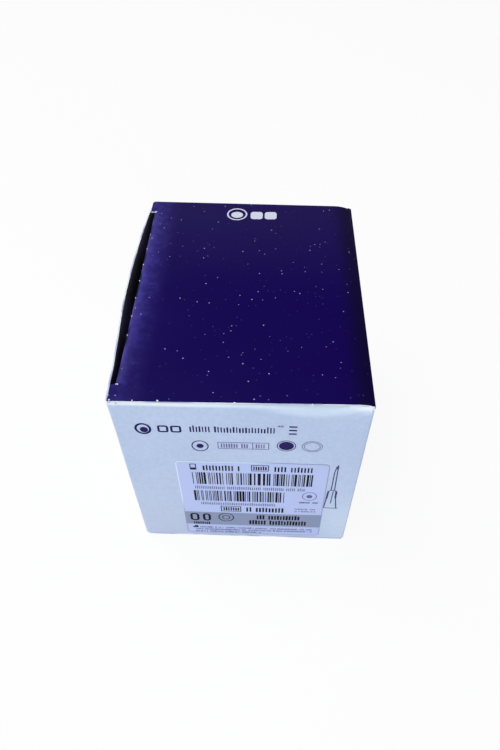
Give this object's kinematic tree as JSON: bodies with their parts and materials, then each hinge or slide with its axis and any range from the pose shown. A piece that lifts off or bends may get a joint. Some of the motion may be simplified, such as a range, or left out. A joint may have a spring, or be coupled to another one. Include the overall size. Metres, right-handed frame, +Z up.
{
  "type": "hypodermic needle carton",
  "caption": "Tuck-top folding carton with a dark lid creased to one side, a label on its pale front, and strips of sealed hypodermic needle packs stacked inside.",
  "frame": {"origin": "middle of the carton's underside, on the surface that it stands on", "axes": "+Z up, -Y towards the labelled front panel, +X towards the wall that carries the lid"},
  "size_m": [0.0842, 0.1041, 0.092],
  "materials": {
    "white_board": "satin",
    "navy_board": "gloss",
    "label_paper": "satin",
    "sealed_pack": "gloss",
    "backing_paper": "matte",
    "clear_film": "gloss",
    "hub_plastic": "satin",
    "cannula_steel": "polished",
    "shield_plastic": "satin"
  },
  "bodies": {
    "carton": {"carton_body": "white_board", "front_label": "label_paper", "sealed_strip_front_1": "sealed_pack", "sealed_strip_front_2": "sealed_pack", "sealed_strip_front_3": "sealed_pack", "sealed_strip_front_4": "sealed_pack", "sealed_strip_front_5": "sealed_pack", "sealed_strip_front_6": "sealed_pack", "sealed_strip_front_7": "sealed_pack", "sealed_strip_front_8": "sealed_pack", "sealed_strip_front_9": "sealed_pack", "sealed_strip_back_1": "sealed_pack", "sealed_strip_back_2": "sealed_pack", "sealed_strip_back_3": "sealed_pack", "sealed_strip_back_4": "sealed_pack", "sealed_strip_back_5": "sealed_pack", "sealed_strip_back_6": "sealed_pack", "sealed_strip_back_7": "sealed_pack", "sealed_strip_back_8": "sealed_pack", "sealed_strip_back_9": "sealed_pack", "backing_paper_front": "backing_paper", "backing_paper_back": "backing_paper", "blister_film_front": "clear_film", "blister_film_back": "clear_film", "hub_front_1": "hub_plastic", "hub_front_2": "hub_plastic", "hub_front_3": "hub_plastic", "hub_front_4": "hub_plastic", "hub_front_5": "hub_plastic", "hub_back_1": "hub_plastic", "hub_back_2": "hub_plastic", "hub_back_3": "hub_plastic", "hub_back_4": "hub_plastic", "hub_back_5": "hub_plastic", "cannula_front_1": "cannula_steel", "cannula_front_2": "cannula_steel", "cannula_front_3": "cannula_steel", "cannula_front_4": "cannula_steel", "cannula_front_5": "cannula_steel", "cannula_back_1": "cannula_steel", "cannula_back_2": "cannula_steel", "cannula_back_3": "cannula_steel", "cannula_back_4": "cannula_steel", "cannula_back_5": "cannula_steel", "shield_front_1": "shield_plastic", "shield_front_2": "shield_plastic", "shield_front_3": "shield_plastic", "shield_front_4": "shield_plastic", "shield_front_5": "shield_plastic", "shield_back_1": "shield_plastic", "shield_back_2": "shield_plastic", "shield_back_3": "shield_plastic", "shield_back_4": "shield_plastic", "shield_back_5": "shield_plastic"},
    "lid": {"lid": "navy_board"}
  },
  "joints": [
    {"name": "lid_hinge", "type": "hinge", "parent": "carton", "child": "lid", "pos_m": [0.04105, 0, 0.0908], "axis": [0, 1, 0], "range_deg": [0, 175]}
  ]
}
